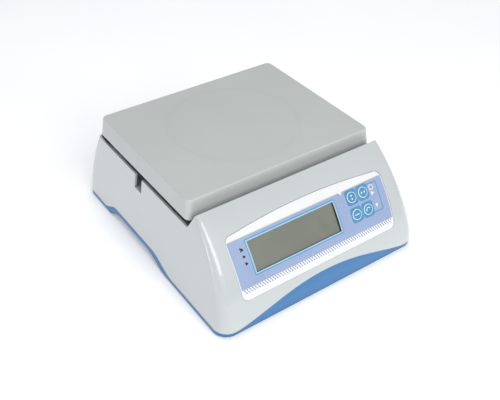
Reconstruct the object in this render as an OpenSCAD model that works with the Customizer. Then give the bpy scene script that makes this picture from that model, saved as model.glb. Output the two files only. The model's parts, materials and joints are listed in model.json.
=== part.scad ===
// Counting scale: a two-part plastic case round a cast chassis and a load cell, with a lift-off pan.
// Heights are measured up from the bottom edge of the case, x and y from the centre of the pan.
// place() moves every sub-part to the origin, which is centred on the case at floor level.

/* [Case] */
// Width at the bottom edge
case_w = 316; // [314:1:320]
// From the pan's centre to the front edge
case_front = 208; // [207:0.5:210]
// From the pan's centre to the back edge
case_back = 155; // [154:0.5:158]
// Height of the side walls
rim_h = 102.5; // [102:0.25:103]
// Height of the ridge in front of the pan
ridge_h = 128.8; // [128:0.2:129.4]
// Lean of the side walls, in degrees
side_lean = 8.16; // [8:0.04:8.4]
// Wall thickness
wall = 3; // [2.8:0.1:3.2]
// Plan corner radius at the bottom edge
corner_low = 20; // [18:1:22]
// Plan corner radius at the rim
corner_high = 8; // [7:1:10]
// Depth of the deck below the rim
deck_drop = 20; // [18:0.5:22]
// Gap between the bottom edge and the floor
floor_gap = 4; // [3.5:0.25:4.5]

/* [Front panel] */
// Radius of the curved front
front_r = 224.4; // [223:0.2:226]
// Angle of the panel's middle from upright
panel_lean = 35; // [34.5:0.25:35.5]
// Width of the printed label
label_w = 242; // [236:1:246]
// Display opening, width
window_w = 131; // [128:1:132]
// Display opening, height up the slope
window_h = 39.2; // [37:0.2:40]
// Key diameter
key_d = 14.8; // [14:0.2:15]
// Key travel
key_travel = 0.5; // [0.3:0.1:0.6]

/* [Pan] */
// Width at the top
pan_w = 279; // [276:1:280]
// Depth at the top
pan_l = 223; // [220:1:224]
// Height of the skirt
pan_skirt = 26.7; // [25:0.1:27]
// Height of the weighing surface above the case's bottom edge
pan_top = 137.3; // [137:0.1:138]
// How far each side of the skirt spreads at its lower edge
pan_draft = 3.3; // [3:0.1:3.5]
// Plan corner radius
pan_corner = 8; // [7:0.5:10]

/* [Feet] */
// Diameter of a foot pad
foot_d = 28; // [24:1:30]
// Sideways distance of a foot from the middle
foot_x = 128; // [126:0.5:129]

/* [Hidden] */
$fn = 48;
big = 400;
eps = 0.05;

// Colours
case_grey = [0.83, 0.84, 0.85];
base_blue = [0.33, 0.55, 0.80];
label_blue = [0.66, 0.72, 0.88];
pan_grey = [0.75, 0.77, 0.75];
cast_metal = [0.72, 0.73, 0.75];
steel = [0.60, 0.61, 0.63];
board_green = [0.10, 0.38, 0.22];
black_plastic = [0.10, 0.10, 0.11];

// Curved front: the arc's centre is this far inside and below the front bottom edge
arc_in = 214.26;
arc_drop = 51.74;
front_blend = 2.5;
// Curved back
back_r = 240;
back_drop = 18;

// Deck, platform and load cell levels
deck_h = rim_h - deck_drop;
deck_t = 2.5;
floor_t = 2.5;
chassis_h = 9.5;
chassis_t = 6;
cell_h = 21.5;
cell_t = 22;
cell_l = 130;
cell_w = 30;
cell_top = cell_h + cell_t;
column_plate_h = cell_top + 3;
column_top = 106;
frame_t = 10;
pad_h = column_top + frame_t;
pad_t = 6;
pad_at = [100, 75];
frame_bolt_r = 14;
fixed_bolt_x = [-58, -42];
column_bolt_x = [42, 58];
stop_x = 50;
pan_low = pan_top - pan_skirt;
pan_t = 3;

// Seam between the two halves, the finger arches under the sides, and the rim round the underside
seam_low = 4;
seam_gap = 0.8;
seam_arch = 17;
front_seam_rise = 23.8;
front_seam_half = 134;
grip_h = 11;
grip_in = 28;
lip_gap = 0.3;
lip_t = 2;
lip_up = 3;
base_inset = 0.8;
base_drop = 1.5;
base_rim = 5;

// Front panel frame: its origin is on the outer surface, its z axis is the surface normal
panel_y = -case_front + arc_in - front_soft(0) - front_r * cos(panel_lean);
panel_z = -arc_drop + front_r * sin(panel_lean);
window_at = [-28.5, 1.25];
keys_left = 66.2;
keys_right = 85.2;
keys_high = 16.1;
keys_low = -7.2;
led_at = [99.9, 17.9];
board_face = -12.4;
board_t = 1.6;
board_bosses = [[-107, -24], [107, -24], [-107, 28], [107, 28]];

// Fasteners and power fittings
foot_front = -165;
foot_back = 125;
case_screw_at = [[-136, -110], [136, -110], [-136, 95], [136, 95], [-60, 141], [20, 141]];
chassis_screw_at = [[-110, -120], [110, -120], [-110, 60], [110, 60]];
board_at = [0, -107];
board_size = [150, 76];
board_hole = [68, 31];
battery_at = [-44, 88];
battery_size = [101, 70, 47];
strap_screw_y = [battery_at[1] - 42, battery_at[1] + 42];
board_h = 11;
boss_h = 8;
strap_t = 1.5;
vial_y = -88;
fittings_y = 141;
fittings_z = 35;
inlet_x = 60;
switch_x = 95;
rocker_tilt = 9;
notch_y = 5.5;
notch_w = 17;
notch_h = 20;
notch_in = 24;

function soft_max(a, b, k) = (a + b + sqrt((a - b) * (a - b) + k * k)) / 2;
function front_soft(h) = soft_max(arc_in - sqrt(front_r ^ 2 - (h + arc_drop) ^ 2), 0, front_blend);
function front_y(h) = -case_front + front_soft(h) - front_soft(0);
function front_slant(h) = front_r / sqrt(front_r ^ 2 - (h + arc_drop) ^ 2);
function back_y(h) = case_back - sqrt(back_r ^ 2 - back_drop ^ 2) + sqrt(back_r ^ 2 - (h + back_drop) ^ 2);
function half_w(h) = case_w / 2 - h * tan(side_lean);
function corner_r(h) = corner_low + (corner_high - corner_low) * h / rim_h;
function ramp(v, a, b) = let (u = min(max((v - a) / (b - a), 0), 1)) u * u * (3 - 2 * u);
function side_seam(y) = seam_low + (seam_arch - seam_low) * ramp(y, 98, 62) * ramp(y, -92, -38);
function grip(y) = grip_h * ramp(y, 84, 56) * ramp(y, -76, -22);
function front_seam(x) = seam_low + front_seam_rise * max(1 - (x / front_seam_half) ^ 2, 0) ^ 1.3;

// Points on an arc round [a, b], from angle a0 to angle a1
function arc(a, b, r, a0, a1, n) =
    [for (i = [0:n]) let (t = a0 + (a1 - a0) * i / n) [a + r * cos(t), b + r * sin(t)]];

// A rounded rectangle at height z, from -x to x and from y0 to y1
function ring(x, y0, y1, r, z, n = 6) = [
    for (c = [0:3], i = [0:n])
        let (t = 90 * (c + i / n),
             cx = (c == 0 || c == 3) ? x - r : r - x,
             cy = c < 2 ? y1 - r : y0 + r)
        [cx + r * cos(t), cy + r * sin(t), z]];
function case_ring(h, t) =
    ring(half_w(h) - t, front_y(h) + t * front_slant(h), back_y(h) - t, max(corner_r(h) - t, 4), h);

// A closed solid through a stack of rings
module skin(rings) {
    n = len(rings[0]);
    top = len(rings) - 1;
    sides = [for (k = [0:top - 1], i = [0:n - 1]) let (j = (i + 1) % n, a = k * n, b = a + n)
        each [[a + i, b + i, b + j], [a + i, b + j, a + j]]];
    floor_face = [for (i = [0:n - 1]) i];
    top_face = [for (i = [0:n - 1]) top * n + n - 1 - i];
    polyhedron([for (r = rings) each r], concat([floor_face, top_face], sides));
}

// A ring round a wire at its point i, square to the way the wire runs there
function unit(v) = v / max(norm(v), eps);
function wire_ring(route, i, r) =
    let (p = route[i],
         before = p - route[max(i - 1, 0)],
         after = route[min(i + 1, len(route) - 1)] - p,
         way = unit(unit(before) + unit(after)),
         u = unit(cross(way, [1, 0, 1])),
         v = cross(way, u))
    [for (a = [0:30:330]) p + r * (cos(a) * u + sin(a) * v)];

// The case's outline, t inside its outer surface, from height h0 to h1
module case_skin(t, h0, h1, steps) skin([for (i = [0:steps]) case_ring(h0 + (h1 - h0) * i / steps, t)]);

module place() translate([0, (case_front - case_back) / 2, floor_gap]) children();
module along_x(length) rotate([90, 0, 90]) linear_extrude(length, center = true) children();
module along_y(y0, y1) translate([0, y1, 0]) rotate([90, 0, 0]) linear_extrude(y1 - y0) children();
module on_panel() translate([0, panel_y, panel_z]) rotate([90 - panel_lean, 0, 0]) children();
module block(x0, x1, y0, y1, z0, z1) translate([x0, y0, z0]) cube([x1 - x0, y1 - y0, z1 - z0]);
module post(x, y, z0, z1, r) translate([x, y, z0]) cylinder(h = z1 - z0, r = r);
module both_sides() for (side = [0, 1]) mirror([side, 0, 0]) children();

// Repeated places: feet, platform pads, main board holes, bolts of the platform cross
module at_foot(side, y) translate([side * foot_x, y, 0]) children();
module at_feet() for (side = [-1, 1], y = [foot_front, foot_back]) at_foot(side, y) children();
module at_pads() for (x = [-1, 1], y = [-1, 1]) translate([x * pad_at[0], y * pad_at[1], 0]) children();
module at_board_holes() for (x = [-1, 1], y = [-1, 1])
    translate([board_at[0] + x * board_hole[0], board_at[1] + y * board_hole[1], 0]) children();
module at_frame_bolts() for (a = [45:90:315]) rotate([0, 0, a]) translate([frame_bolt_r, 0, 0]) children();

// A rectangle with round corners
module rounded(w, l, r) {
    square([w - 2 * r, l], center = true);
    square([w, l - 2 * r], center = true);
    for (x = [-1, 1], y = [-1, 1]) translate([x * (w / 2 - r), y * (l / 2 - r)]) circle(r);
}

// A wire through a list of points
module wire(route, r) skin([for (i = [0:len(route) - 1]) wire_ring(route, i, r)]);

// A screw that points down: its head sits on height z
module screw(x, y, z, head_r, head_t, shank_r, length) {
    post(x, y, z, z + head_t, head_r);
    post(x, y, z - length, z + eps, shank_r);
}

// Everything under the seam, lowered by gap
module under_seam(gap) {
    along_x(big)
        polygon(concat([[200, -20], [200, seam_low - gap]],
            [for (y = [112:-6:-104]) [y, side_seam(y) - gap]],
            [[-230, seam_low - gap], [-230, -20]]));
    along_y(-230, -130)
        polygon(concat([[-170, -20], [-170, seam_low - gap]],
            [for (x = [-front_seam_half:front_seam_half / 12:front_seam_half]) [x, front_seam(x) - gap]],
            [[170, seam_low - gap], [170, -20]]));
}

// The space over the deck and behind the ridge, grown by t
module well(level, t) {
    along_x(big)
        polygon(concat([[200, level - t]],
            arc(-110.6, level + 6, 6 + t, 270, 208, 6),
            arc(-130.6, ridge_h - 4, 4 - t, 28, 90, 6),
            [[-130.6, 200], [200, 200]]));
}

// The two slots in the rim beside the pan, grown by t
module finger_notch(t) both_sides()
    block(half_w(rim_h) - notch_in - t, 160, notch_y - notch_w / 2 - t, notch_y + notch_w / 2 + t,
        rim_h - notch_h - t, rim_h + 10);

// Band of the front surface between two depths
module panel_band(low, high) {
    translate([0, -case_front + arc_in - front_soft(0), -arc_drop])
        rotate([0, 90, 0])
            difference() {
                cylinder(h = big, r = front_r + high, center = true, $fn = 180);
                cylinder(h = big + 2, r = front_r + low, center = true, $fn = 180);
            }
}

// The label's outline seen from the front, inset by t
module label_outline(t) {
    half = label_w / 2 - t;
    low = 37 + t;
    bow = 102 - t;
    polygon(concat(
        arc(-half + 8, low + 8, 8, 180, 270, 5),
        arc(half - 8, low + 8, 8, 270, 360, 5),
        arc(half - 9, bow - 7, 9, 0, 75, 5),
        [for (i = [-3:3]) let (x = -i * 34) [x, 108.8 - t - 6 * (x / half) ^ 2]],
        arc(-half + 9, bow - 7, 9, 105, 180, 5)));
}

module label_blank(low, high, t) {
    intersection() {
        panel_band(low, high);
        along_y(-230, -100) label_outline(t);
    }
}

module window_cut(grow, w0, w1) {
    translate([window_at[0], window_at[1], w0])
        linear_extrude(w1 - w0) square([window_w + grow, window_h + grow], center = true);
}

module each_key() for (x = [keys_left, keys_right], v = [keys_low, keys_high])
    translate([x, v, 0]) children();

module upper_case() {
    color(case_grey) place() difference() {
        union() {
            difference() {
                case_skin(0, 0, ridge_h, 18);
                difference() {
                    case_skin(wall, -1, ridge_h - 4, 12);
                    well(deck_h, deck_t);
                }
            }
            intersection() {
                case_skin(0.4, 0, ridge_h, 12);
                union() {
                    finger_notch(wall);
                    for (p = case_screw_at) post(p[0], p[1], boss_h, deck_h - 1, 4.5);
                    block(inlet_x - 22, switch_x + 26, fittings_y - 3, 160, 15, 55);
                    on_panel() for (p = board_bosses) post(p[0], p[1], board_face, -2.6, 3.5);
                }
            }
        }
        well(rim_h, 0);
        intersection() {
            case_skin(wall, 80, ridge_h, 6);
            well(deck_h, 0);
        }
        finger_notch(0);
        under_seam(0);
        for (p = case_screw_at) post(p[0], p[1], 7, 24.5, 1.95);
        block(inlet_x - 19, switch_x + 23, fittings_y, 170, 18, 52);
        at_inlet() post(0, 0, -11, 9, 4.05);
        block(switch_x - 9.4, switch_x + 9.4, 130, 150, fittings_z - 6.4, fittings_z + 6.4);
        post(0, 0, deck_h - 10, deck_h + 1, 27);
        label_blank(-0.8, 6, -0.3);
        on_panel() {
            window_cut(4, -20, 2);
            window_cut(11, -20, -3.2);
            each_key() post(0, 0, -20, 5, key_d / 2 + 0.4);
            post(led_at[0], led_at[1], -20, 5, 1.6);
            for (p = board_bosses) post(p[0], p[1], board_face - 1, -5.4, 1.35);
        }
    }
}

module base_shell() {
    color(base_blue) place() difference() {
        union() {
            difference() {
                union() {
                    intersection() {
                        case_skin(base_inset, -base_drop, 32, 5);
                        under_seam(seam_gap);
                    }
                    intersection() {
                        case_skin(wall + lip_gap, 0, 36, 5);
                        under_seam(-lip_up);
                    }
                }
                case_skin(wall + lip_gap + lip_t, floor_t, 40, 6);
            }
            intersection() {
                case_skin(base_inset, -base_drop, 20, 3);
                both_sides() grip_space(floor_t - base_drop, grip_in + floor_t);
            }
            for (p = case_screw_at) post(p[0], p[1], 1, boss_h - eps, 7);
            for (p = chassis_screw_at) post(p[0], p[1], 1, chassis_h, 5);
            at_feet() post(0, 0, 0, chassis_h, 20);
            at_board_holes() post(0, 0, 1, board_h, 3.5);
            for (y = strap_screw_y) post(battery_at[0], y, 1, boss_h, 5);
        }
        case_skin(base_inset + base_rim, -base_drop - 1, 0, 2);
        both_sides() grip_space(-base_drop - eps, grip_in);
        at_feet() {
            post(0, 0, -1, 7, 17);
            post(0, 0, 6, 20, 4.8);
        }
        for (p = case_screw_at) {
            post(p[0], p[1], -1, 5, 4.2);
            post(p[0], p[1], 4, 20, 2.2);
        }
        for (p = chassis_screw_at) post(p[0], p[1], 3, 20, 2.05);
        at_board_holes() post(0, 0, 4, 20, 1.35);
        for (y = strap_screw_y) post(battery_at[0], y, 3, 20, 1.55);
    }
}

// The hollow under one side where fingers reach in, grown upwards by up and reaching in by deep
module grip_space(up, deep) {
    translate([case_w / 2 - deep + 50, 0, 0])
        along_x(100)
            polygon(concat([[112, -20], [112, up]],
                [for (y = [88:-6:-80]) [y, grip(y) + up]],
                [[-104, up], [-104, -20]]));
}

module front_label() {
    color(label_blue) place() difference() {
        label_blank(-0.75, -0.3, 0);
        on_panel() {
            window_cut(0, -20, 2);
            each_key() post(0, 0, -20, 5, key_d / 2 + 0.4);
            post(led_at[0], led_at[1], -20, 5, 1.6);
        }
    }
}

module display_window() {
    color([0.85, 0.9, 0.92, 0.4]) place() on_panel() window_cut(4.6, -4.4, -3.6);
}

module lcd_holder() {
    color(black_plastic) place() on_panel() difference() {
        union() {
            window_cut(3.2, -5, -2.2);
            window_cut(10, -9, -3.2);
        }
        window_cut(0, -20, 0);
        window_cut(5, -20, -3.6);
    }
}

module lcd_panel() {
    color([0.53, 0.54, 0.49]) place() on_panel() window_cut(4.6, -7.2, -4.4);
}

module display_board() {
    color(board_green) place() on_panel() difference() {
        translate([0, 2, board_face - board_t]) linear_extrude(board_t) square([226, 64], center = true);
        for (p = board_bosses) post(p[0], p[1], board_face - 5, board_face + 5, 1.6);
    }
}

module display_board_screws() {
    color(steel) place() on_panel()
        for (p = board_bosses) mirror([0, 0, 1]) screw(p[0], p[1], board_t - board_face, 2.8, 2, 1.3, 8);
}

module key_switches() {
    color(black_plastic) place() on_panel() each_key() difference() {
        translate([-3, -3, board_face]) cube([6, 6, 3.5]);
        post(0, 0, board_face + 1.9, 0, 2);
    }
}

module power_led() {
    color([0.5, 0.1, 0.1]) place() on_panel() {
        post(led_at[0], led_at[1], board_face, board_face + 7, 2);
        post(led_at[0], led_at[1], board_face + 6, -2, 1.5);
        translate([led_at[0], led_at[1], -2]) sphere(1.5);
    }
}

module display_ribbon() {
    color([0.75, 0.75, 0.78]) place() translate([-25, 0, 0]) along_x(24)
        polygon([[-180.8, 48.46], [-168, 33], [-141, 26], [-137.5, 24], [-137.5, 20.1], [-138.5, 20.1],
            [-138.5, 23.4], [-141.3, 25], [-168.6, 32.1], [-181.4, 47.6]]);
}

module key(x, v) {
    color([0.36, 0.62, 0.74]) place() {
        intersection() {
            panel_band(-12, 0.5);
            on_panel() post(x, v, -5, 4, key_d / 2);
        }
        on_panel() {
            post(x, v, -6, -4.6, 9);
            post(x, v, board_face + 2.2 + key_travel, -5.9, 1.7);
        }
    }
}

module main_board() {
    color(board_green) place() difference() {
        translate([board_at[0], board_at[1], board_h])
            linear_extrude(board_t) square(board_size, center = true);
        at_board_holes() post(0, 0, 5, 20, 1.6);
    }
}

module board_components() {
    top = board_h + board_t;
    color(black_plastic) place() {
        block(-38, -12, -143, -133, top, 20.1);
        block(-72, -60, -96, -82, top, 19);
        block(60, 72, -98, -82, top, 19);
        block(-72, -60, -124, -110, top, 19);
        block(-10, 8, -112, -94, top, top + 3);
        block(20, 34, -122, -112, top, top + 3);
        for (i = [0:2]) post(20 + 14 * i, -92, top, top + 14, 5);
        post(48, -122, top, top + 8, 7);
    }
}

module main_board_screws() {
    color(steel) place() at_board_holes() screw(0, 0, board_h + board_t, 2.8, 2, 1.3, 8);
}

module chassis() {
    top = chassis_h + chassis_t;
    color(cast_metal) place() difference() {
        union() {
            both_sides() block(100, 120, foot_front, foot_back, chassis_h, top);
            block(-102, 102, -30, 30, chassis_h, top);
            block(-102, 102, -4, 4, chassis_h, top + 2);
            at_feet() post(0, 0, chassis_h, top + 3, 15);
        }
        at_feet() post(0, 0, 0, 40, 4.06);
        for (p = chassis_screw_at) post(p[0], p[1], 0, 40, 2.3);
        for (x = fixed_bolt_x) post(x, 0, 0, 40, 3.1);
        post(stop_x, 0, 0, 40, 3.05);
        block(30, 70, -8, 8, top, 40);
        block(-70, -30, -16, 16, top, 40);
        block(-20, 20, -22, -10, 0, 40);
        block(-20, 20, 10, 22, 0, 40);
    }
}

module chassis_screws() {
    color(steel) place() for (p = chassis_screw_at)
        screw(p[0], p[1], chassis_h + chassis_t, 4, 3, 2, chassis_h + chassis_t - 3.5);
}

module cell_spacer_lower() {
    color(steel) place() difference() {
        block(-65, -35, -cell_w / 2, cell_w / 2, chassis_h + chassis_t, cell_h);
        for (x = fixed_bolt_x) post(x, 0, 0, 40, 3.1);
    }
}

module load_cell() {
    mid = cell_h + cell_t / 2;
    color(cast_metal) place() difference() {
        block(-cell_l / 2, cell_l / 2, -cell_w / 2, cell_w / 2, cell_h, cell_top);
        for (x = [-9, 9]) translate([x, 20, mid]) rotate([90, 0, 0]) cylinder(h = 40, r = 8);
        block(-9, 9, -20, 20, mid - 2, mid + 2);
        for (x = fixed_bolt_x) post(x, 0, 0, cell_h + 14, 3);
        for (x = column_bolt_x) post(x, 0, cell_top - 14, 60, 3);
    }
}

module gauge_cover() {
    color([0.93, 0.93, 0.9]) place() for (s = [-1, 1])
        translate([0, s * (cell_w / 2 + 1), cell_h + cell_t / 2]) cube([52, 2, 19], center = true);
}

module load_cell_bolts() {
    color(steel) place() for (x = fixed_bolt_x) {
        post(x, 0, chassis_h - 4, chassis_h, 5);
        post(x, 0, chassis_h - eps, cell_h + 12, 3);
    }
}

module overload_screw() color(steel) place() post(stop_x, 0, 5, cell_h - 0.6, 3);

module overload_nut() {
    color(steel) place() difference() {
        translate([stop_x, 0, chassis_h + chassis_t]) cylinder(h = 4, r = 5.8, $fn = 6);
        post(stop_x, 0, 0, 40, 3.05);
    }
}

module load_cell_cable() {
    color([0.2, 0.2, 0.22]) place()
        wire([[-65, 0, 32], [-76, 0, 32], [-84, -14, 30], [-82, -60, 30], [-72, -82, 30], [-66, -88, 26],
            [-66, -88, 19]], 2);
}

module battery() {
    color([0.25, 0.25, 0.28]) place()
        translate([battery_at[0], battery_at[1], floor_t])
            linear_extrude(battery_size[2]) rounded(battery_size[0], battery_size[1], 3);
}

module battery_terminals() {
    color([0.8, 0.66, 0.3]) place() for (x = [-82, -62])
        block(x - 3, x + 3, 58, 64, floor_t + battery_size[2], floor_t + battery_size[2] + 5);
}

module battery_strap() {
    top = floor_t + battery_size[2];
    y0 = battery_at[1] - battery_size[1] / 2;
    y1 = battery_at[1] + battery_size[1] / 2;
    color(steel) place() difference() {
        translate([battery_at[0], 0, 0]) along_x(20)
            difference() {
                union() {
                    translate([y0 - 12, boss_h]) square([y1 - y0 + 24, strap_t]);
                    translate([y0 - strap_t, boss_h]) square([y1 - y0 + 2 * strap_t, top + strap_t - boss_h]);
                }
                translate([y0, 0]) square([y1 - y0, top]);
            }
        for (y = strap_screw_y) post(battery_at[0], y, 0, 20, 1.8);
    }
}

module strap_screws() {
    color(steel) place()
        for (y = strap_screw_y) screw(battery_at[0], y, boss_h + strap_t, 3, 2, 1.5, 6);
}

module battery_leads() {
    top = floor_t + battery_size[2] + 5;
    color([0.7, 0.1, 0.1]) place() {
        wire([[-82, 61, top], [-82, 61, top + 4], [-88, 45, 48], [-91, -40, 40], [-78, -105, 30],
            [-64, -114, 25], [-64, -114, 19]], 1.2);
        wire([[-62, 61, top], [-62, 61, top + 4], [-86, 42, 43], [-88, -40, 35], [-78, -108, 25],
            [-68, -120, 24], [-68, -120, 19]], 1.2);
    }
}

// The inlet's frame: its z axis points out of the back
module at_inlet() translate([inlet_x, fittings_y, fittings_z]) rotate([-90, 0, 0]) children();

module power_inlet() {
    color(black_plastic) place() at_inlet() difference() {
        union() {
            post(0, 0, -3, 4, 4);
            post(0, 0, -15, -3, 6);
        }
        post(0, 0, -6, 14, 2.85);
    }
}

module inlet_pin() color(steel) place() at_inlet() post(0, 0, -6, 2.5, 1.05);

module inlet_nut() {
    color(steel) place() at_inlet() difference() {
        cylinder(h = 2.5, r = 6.4, $fn = 6);
        post(0, 0, -1, 4, 4.05);
    }
}

module switch_housing() {
    color(black_plastic) place() translate([switch_x, fittings_y, fittings_z]) difference() {
        union() {
            block(-9.2, 9.2, -18, 0.1, -6.2, 6.2);
            block(-11, 11, 0, 2, -8, 8);
            for (x = [-5, 5]) block(x - 0.4, x + 0.4, -24, -17, -2.4, 2.4);
        }
        block(-7.9, 7.9, -9.5, 5, -5.3, 5.3);
    }
}

module switch_rocker() {
    color(black_plastic) place() translate([switch_x, fittings_y - 1, fittings_z - 5])
        rotate([0, 0, -rocker_tilt]) linear_extrude(10) intersection() {
            circle(7.5);
            polygon([[-8, 3.1], [0, 1.4], [8, 3.1], [8, -4], [-8, -4]]);
        }
}

module power_leads() {
    color([0.12, 0.12, 0.14]) place() {
        wire([[switch_x - 5, 117, fittings_z], [switch_x - 5, 110, fittings_z], [88, 96, 33], [88, 20, 29],
            [84, -60, 27], [66, -86, 25], [66, -86, 19]], 1.2);
        wire([[inlet_x, 126, fittings_z], [inlet_x, 118, fittings_z], [76, 96, 30], [80, 20, 25],
            [77, -60, 24], [66, -94, 24], [66, -94, 19]], 1.2);
    }
}

module level_vial() color([0.8, 0.95, 0.6, 0.5]) place() post(0, vial_y, deck_h, deck_h + 8, 8);

module level_ring() {
    color(black_plastic) place() difference() {
        post(0, vial_y, deck_h, deck_h + 6, 11);
        post(0, vial_y, deck_h - 1, deck_h + 10, 8);
    }
}

module case_screws() {
    color(steel) place() for (p = case_screw_at) {
        post(p[0], p[1], 2.6, 5, 3.7);
        post(p[0], p[1], 5 - eps, 22, 1.9);
    }
}

module cell_spacer_upper() {
    color(steel) place() difference() {
        block(35, 65, -cell_w / 2, cell_w / 2, cell_top, column_plate_h);
        for (x = column_bolt_x) post(x, 0, 0, 60, 3.1);
    }
}

module column_bolts() {
    color(steel) place() for (x = column_bolt_x) screw(x, 0, column_plate_h + 8, 5, 5, 3, 23 - eps);
}

module platform_column() {
    color(cast_metal) place() difference() {
        union() {
            block(-24, 65, -17, 17, column_plate_h, column_plate_h + 8);
            post(0, 0, column_plate_h, column_top, 20);
            block(15, 28, -3, 3, column_plate_h + 7, column_plate_h + 30);
        }
        for (x = column_bolt_x) post(x, 0, 0, 60, 3.1);
        at_frame_bolts() post(0, 0, column_top - 14, 120, 2.05);
    }
}

module platform_frame() {
    reach = norm(pad_at);
    color(cast_metal) place() difference() {
        union() {
            post(0, 0, column_top, pad_h, 32);
            for (x = [-1, 1], y = [-1, 1]) rotate([0, 0, atan2(y * pad_at[1], x * pad_at[0])]) {
                block(10, reach, -9, 9, column_top, column_top + 5);
                block(10, reach, -3, 3, column_top, pad_h);
            }
            at_pads() post(0, 0, column_top, pad_h, 13);
        }
        at_frame_bolts() post(0, 0, 100, 120, 2.7);
        at_pads() post(0, 0, column_top + 4, 130, 4);
    }
}

module platform_bolts() {
    color(steel) place() at_frame_bolts() screw(0, 0, pad_h, 4, 4, 2, frame_t + 10);
}

module pan_pads() {
    color([0.12, 0.12, 0.12]) place() at_pads() {
        post(0, 0, pad_h, pad_h + pad_t, 9);
        post(0, 0, column_top + 4, pad_h + eps, 3.9);
    }
}

function pan_ring(h, t, in = 0) = let (out = pan_draft * (pan_top - h) / pan_skirt - t - in)
    ring(pan_w / 2 + out, -pan_l / 2 - out, pan_l / 2 + out, max(pan_corner - t - in, 3), h);

module pan() {
    fillet = 1.5;
    rib_h = 9;
    rib_end = 0.9;
    color(pan_grey) place() difference() {
        union() {
            difference() {
                skin(concat([pan_ring(pan_low, 0)], [for (a = [0:18:90])
                    pan_ring(pan_top - fillet + fillet * sin(a), 0, fillet * (1 - cos(a)))]));
                skin([pan_ring(pan_low - 1, 2.5), pan_ring(pan_top - pan_t, 2.5)]);
            }
            at_pads() post(0, 0, pad_h + pad_t - 2.5, pan_top - 1, 12);
            for (x = [-100, -50, 50, 100])
                block(x - 1, x + 1, rib_end - pan_l / 2, pan_l / 2 - rib_end, pan_top - rib_h, pan_top - 1);
            for (y = [-75, 75])
                block(rib_end - pan_w / 2, pan_w / 2 - rib_end, y - 1, y + 1, pan_top - rib_h, pan_top - 1);
        }
        at_pads() post(0, 0, 100, pad_h + pad_t, 9.6);
    }
}

// A foot pad and its stud, both at rest on the floor
module foot(side, y) {
    color([0.1, 0.1, 0.1]) place() at_foot(side, y) translate([0, 0, -floor_gap]) {
        cylinder(h = 4, r = foot_d / 2);
        translate([0, 0, 4]) cylinder(h = 2, r1 = foot_d / 2, r2 = foot_d / 2 - 3);
    }
}

module stud(side, y) {
    color(steel) place() at_foot(side, y) translate([0, 0, -floor_gap]) {
        translate([0, 0, 6]) cylinder(h = 1.5, r = 8);
        translate([0, 0, 7.4]) cylinder(h = 20, r = 4);
    }
}

upper_case();
base_shell();
front_label();
display_window();
lcd_holder();
lcd_panel();
display_board();
display_board_screws();
key_switches();
power_led();
display_ribbon();
main_board();
board_components();
main_board_screws();
chassis();
chassis_screws();
cell_spacer_lower();
load_cell();
gauge_cover();
load_cell_bolts();
overload_screw();
overload_nut();
load_cell_cable();
battery();
battery_terminals();
battery_strap();
strap_screws();
battery_leads();
power_inlet();
inlet_pin();
inlet_nut();
switch_housing();
power_leads();
level_vial();
level_ring();
case_screws();
cell_spacer_upper();
column_bolts();
platform_column();
platform_frame();
platform_bolts();
pan_pads();
pan();
key(keys_left, keys_high);  // key_upper_left
key(keys_right, keys_high);  // key_upper_right
key(keys_left, keys_low);  // key_lower_left
key(keys_right, keys_low);  // key_lower_right
foot(-1, foot_front);  // foot_front_left
foot(1, foot_front);  // foot_front_right
foot(-1, foot_back);  // foot_back_left
foot(1, foot_back);  // foot_back_right
stud(-1, foot_front);  // stud_front_left
stud(1, foot_front);  // stud_front_right
stud(-1, foot_back);  // stud_back_left
stud(1, foot_back);  // stud_back_right
switch_rocker();
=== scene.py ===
"""Looks of the counting scale: metres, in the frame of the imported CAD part."""

import json
import math

import bmesh
import bpy
from mathutils import Matrix, Vector


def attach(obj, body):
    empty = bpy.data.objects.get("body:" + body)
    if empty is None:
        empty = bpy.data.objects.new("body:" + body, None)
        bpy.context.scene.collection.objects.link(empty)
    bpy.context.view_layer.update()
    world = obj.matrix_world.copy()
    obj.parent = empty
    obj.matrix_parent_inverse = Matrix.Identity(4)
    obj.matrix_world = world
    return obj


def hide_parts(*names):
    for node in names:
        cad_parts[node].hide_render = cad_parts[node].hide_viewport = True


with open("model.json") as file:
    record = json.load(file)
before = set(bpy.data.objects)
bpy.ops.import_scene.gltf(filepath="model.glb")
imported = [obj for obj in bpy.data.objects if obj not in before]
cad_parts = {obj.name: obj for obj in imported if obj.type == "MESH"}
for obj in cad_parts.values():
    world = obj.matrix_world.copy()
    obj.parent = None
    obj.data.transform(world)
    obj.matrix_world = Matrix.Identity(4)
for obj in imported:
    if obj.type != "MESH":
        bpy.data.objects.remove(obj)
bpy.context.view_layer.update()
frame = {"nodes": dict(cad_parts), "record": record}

# ---------------------------------------------------------------- sizes, in millimetres, pan-centred
MM = 0.001
SHIFT_Y, FLOOR_GAP = 26.5, 4.0
CASE_W, CASE_FRONT, CASE_BACK = 316.0, 208.0, 155.0
RIM, RIDGE, LEAN, WALL = 102.5, 128.8, math.radians(8.16), 3.0
CORNER_LOW, CORNER_HIGH = 20.0, 8.0
DECK, DECK_T = 82.5, 2.5
BASE_DROP, SEAM_GAP, BASE_INSET, BASE_RIM, FLOOR_T = 1.5, 0.8, 0.8, 5.0, 2.5
LIP_GAP, LIP_T, LIP_RISE = 0.3, 2.0, 3.0
SEAM_LOW, SIDE_RISE, FRONT_RISE, FRONT_HALF, GRIP_RISE = 4.0, 13.0, 23.8, 134.0, 11.0
GRIP_IN, GRIP_WALL = 28.0, 2.5
FRONT_R, ARC_IN, ARC_DROP, BLEND = 224.4, 214.26, 51.74, 2.5
BACK_R, BACK_DROP = 240.0, 18.0
PANEL_LEAN = math.radians(35)
PAN_W, PAN_L, PAN_SKIRT, PAN_TOP, PAN_DRAFT = 279.0, 223.0, 26.7, 137.3, 3.3
PAN_CORNER, PAN_FILLET, PAN_T, PAN_LIP = 8.0, 1.5, 2.5, 0.8
PAD_X, PAD_Y = 100, 75
WINDOW = (-28.5, 1.25, 131.0, 39.2)
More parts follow.
